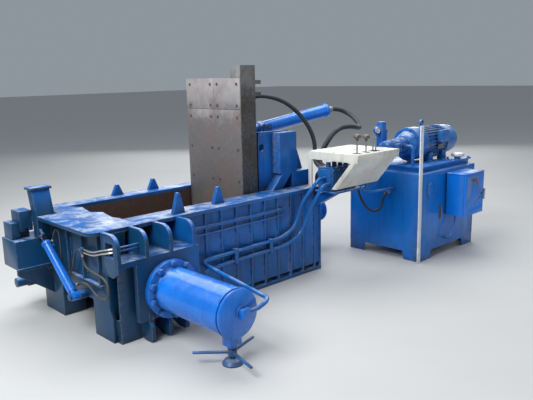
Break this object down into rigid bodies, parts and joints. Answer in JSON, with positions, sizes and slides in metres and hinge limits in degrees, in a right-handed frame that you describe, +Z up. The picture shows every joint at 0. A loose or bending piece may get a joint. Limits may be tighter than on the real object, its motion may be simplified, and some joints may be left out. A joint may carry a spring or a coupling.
{
  "type": "scrap metal baler",
  "caption": "Hydraulic scrap baler: open charging box with upright lid, side press, turn-out frame, lever stand and a separate tank with motor.",
  "frame": {"origin": "centre of the machine's footprint box, on the floor", "axes": "+X along the press towards the motor, +Y away from the operator, +Z up"},
  "size_m": [3.974, 2.1222, 1.726],
  "materials": {
    "press_blue": "worn gloss enamel",
    "liner_steel": "worn and rusty",
    "bolt_steel": "dull",
    "cylinder_blue": "gloss enamel",
    "ram_steel": "scuffed",
    "rod_chrome": "polished",
    "lid_paint": "dusty enamel",
    "wear_steel": "scuffed and tinted brown",
    "wear_bolt": "ground flush",
    "hood_paint": "satin",
    "valve_paint": "satin",
    "lever_steel": "satin",
    "tank_blue": "gloss enamel",
    "cabinet_blue": "gloss enamel",
    "post_paint": "satin",
    "motor_blue": "satin enamel",
    "rotor_steel": "dull",
    "pump_iron": "satin",
    "tower_paint": "satin",
    "cap_metal": "polished",
    "gauge_metal": "satin",
    "handle_metal": "polished",
    "button_green": "satin",
    "button_red": "satin",
    "jack_steel": "worn",
    "pipe_paint": "satin",
    "hose_rubber": "matt, braided under the skin"
  },
  "bodies": {
    "press": {"bell_housing": "motor_blue", "cabinet": "cabinet_blue", "chamber_liners": "liner_steel", "corner_post": "post_paint", "cover_plate": "press_blue", "end_frame": "press_blue", "far_wall": "press_blue", "floor_frame": "press_blue", "hinge_pin": "bolt_steel", "hood": "hood_paint", "hose_lid_front": "hose_rubber", "hose_lid_rear": "hose_rubber", "hose_main": "hose_rubber", "hose_tank": "hose_rubber", "hose_turn_base": "hose_rubber", "hose_turn_rod": "hose_rubber", "level_gauge": "gauge_metal", "lid_guides": "press_blue", "lid_tower": "press_blue", "main_cylinder": "cylinder_blue", "motor_body": "motor_blue", "motor_fan_cover": "motor_blue", "near_wall": "press_blue", "pipe_clamps": "press_blue", "pump": "pump_iron", "rear_frame": "press_blue", "rigid_pipes": "pipe_paint", "side_bolts": "bolt_steel", "side_bracket": "press_blue", "side_cylinder": "cylinder_blue", "tank": "tank_blue", "tank_deck": "tank_blue", "turn_mounts": "press_blue", "valve_bank": "valve_paint", "valve_bracket": "press_blue", "valve_tower": "tower_paint"},
    "lid": {"lid_frame": "lid_paint", "lid_wear_plates": "wear_steel", "lid_bolts": "wear_bolt"},
    "lid_barrel": {"lid_barrel": "cylinder_blue"},
    "lid_rod": {"lid_rod": "rod_chrome"},
    "main_ram": {"main_ram": "ram_steel"},
    "side_ram": {"side_ram": "ram_steel"},
    "turn_out": {"turn_frame": "press_blue", "turn_bucket": "press_blue", "turn_door": "press_blue"},
    "turn_barrel": {"turn_barrel": "cylinder_blue"},
    "turn_rod": {"turn_rod": "rod_chrome"},
    "lever_1": {"lever_1": "lever_steel"},
    "lever_2": {"lever_2": "lever_steel"},
    "lever_3": {"lever_3": "lever_steel"},
    "lever_4": {"lever_4": "lever_steel"},
    "cabinet_door": {"cabinet_door": "cabinet_blue"},
    "button_1": {"button_1": "button_green"},
    "button_2": {"button_2": "button_red"},
    "door_handle": {"door_handle": "handle_metal"},
    "filler_cap": {"filler_cap": "cap_metal"},
    "motor_rotor": {"motor_rotor": "rotor_steel"},
    "jack_foot": {"jack_foot": "jack_steel"},
    "jack_screw": {"jack_screw": "jack_steel"}
  },
  "joints": [
    {"name": "lid_hinge", "type": "hinge", "parent": "press", "child": "lid", "pos_m": [-0.321, 0.49414, 0.6], "axis": [0, -1, 0], "range_deg": [0, 90]},
    {"name": "lid_barrel_pivot", "type": "hinge", "parent": "press", "child": "lid_barrel", "pos_m": [0.127, 0.49414, 1.19], "axis": [0, -1, 0], "range_deg": [0, 17.02]},
    {"name": "lid_rod_slide", "type": "slide", "parent": "lid_barrel", "child": "lid_rod", "axis": [-0.9918, 0, -0.128], "range_m": [0, 0.7831]},
    {"name": "main_ram_slide", "type": "slide", "parent": "press", "child": "main_ram", "axis": [-1, 0, 0], "range_m": [0, 0.84]},
    {"name": "side_ram_slide", "type": "slide", "parent": "press", "child": "side_ram", "axis": [0, 1, 0], "range_m": [0, 0.4]},
    {"name": "turn_out_hinge", "type": "hinge", "parent": "press", "child": "turn_out", "pos_m": [-1.523, 1.00614, 0.19], "axis": [-1, 0, 0], "range_deg": [0, 35]},
    {"name": "turn_barrel_pivot", "type": "hinge", "parent": "press", "child": "turn_barrel", "pos_m": [-1.808, 0.23414, 0.262], "axis": [-1, 0, 0], "range_deg": [0, 5.91]},
    {"name": "turn_rod_slide", "type": "slide", "parent": "turn_barrel", "child": "turn_rod", "axis": [0, 0.7769, 0.6297], "range_m": [0, 0.3187]},
    {"name": "cabinet_hinge", "type": "hinge", "parent": "press", "child": "cabinet_door", "pos_m": [1.428, -0.76086, 0.555], "axis": [0, 0, -1], "range_deg": [0, 110]},
    {"name": "handle_turn", "type": "hinge", "parent": "cabinet_door", "child": "door_handle", "pos_m": [1.743, -0.76886, 0.54], "axis": [0, 1, 0], "range_deg": [0, 90]},
    {"name": "filler_cap_lift", "type": "slide", "parent": "press", "child": "filler_cap", "axis": [0, 0, 1], "range_m": [0, 0.06]},
    {"name": "motor_spin", "type": "hinge", "parent": "press", "child": "motor_rotor", "pos_m": [1.577, -0.23886, 1], "axis": [1, 0, 0], "continuous": true},
    {"name": "jack_lift", "type": "slide", "parent": "press", "child": "jack_foot", "axis": [0, 0, 1], "range_m": [0, 0.0121]},
    {"name": "jack_turn", "type": "hinge", "parent": "jack_foot", "child": "jack_screw", "pos_m": [-1.383, -0.83386, 0.072], "axis": [0, 0, 1], "range_deg": [0, 1080]},
    {"name": "lever_1_tilt", "type": "hinge", "parent": "press", "child": "lever_1", "pos_m": [0.277, -0.44886, 0.985], "axis": [1, 0, 0], "range_deg": [-12, 12], "stiffness_Nm_per_rad": 6},
    {"name": "lever_2_tilt", "type": "hinge", "parent": "press", "child": "lever_2", "pos_m": [0.391, -0.44886, 0.985], "axis": [1, 0, 0], "range_deg": [-12, 12], "stiffness_Nm_per_rad": 6},
    {"name": "lever_3_tilt", "type": "hinge", "parent": "press", "child": "lever_3", "pos_m": [0.48, -0.44886, 0.985], "axis": [1, 0, 0], "range_deg": [-12, 12], "stiffness_Nm_per_rad": 6},
    {"name": "lever_4_tilt", "type": "hinge", "parent": "press", "child": "lever_4", "pos_m": [0.519, -0.44886, 0.985], "axis": [1, 0, 0], "range_deg": [-12, 12], "stiffness_Nm_per_rad": 6},
    {"name": "button_1_press", "type": "slide", "parent": "cabinet_door", "child": "button_1", "axis": [0, 1, 0], "range_m": [0, 0.0025], "stiffness_N_per_m": 800},
    {"name": "button_2_press", "type": "slide", "parent": "cabinet_door", "child": "button_2", "axis": [0, 1, 0], "range_m": [0, 0.0025], "stiffness_N_per_m": 800}
  ],
  "couplings": [
    {"joint": "lid_barrel_pivot", "follows": "lid_hinge", "ratio": 0.18904},
    {"joint": "lid_rod_slide", "follows": "lid_hinge", "m_per_rad": 0.49848},
    {"joint": "turn_barrel_pivot", "follows": "turn_out_hinge", "ratio": 0.16856},
    {"joint": "turn_rod_slide", "follows": "turn_out_hinge", "m_per_rad": 0.52159},
    {"joint": "jack_lift", "follows": "jack_turn", "m_per_rad": 0.00063662}
  ]
}
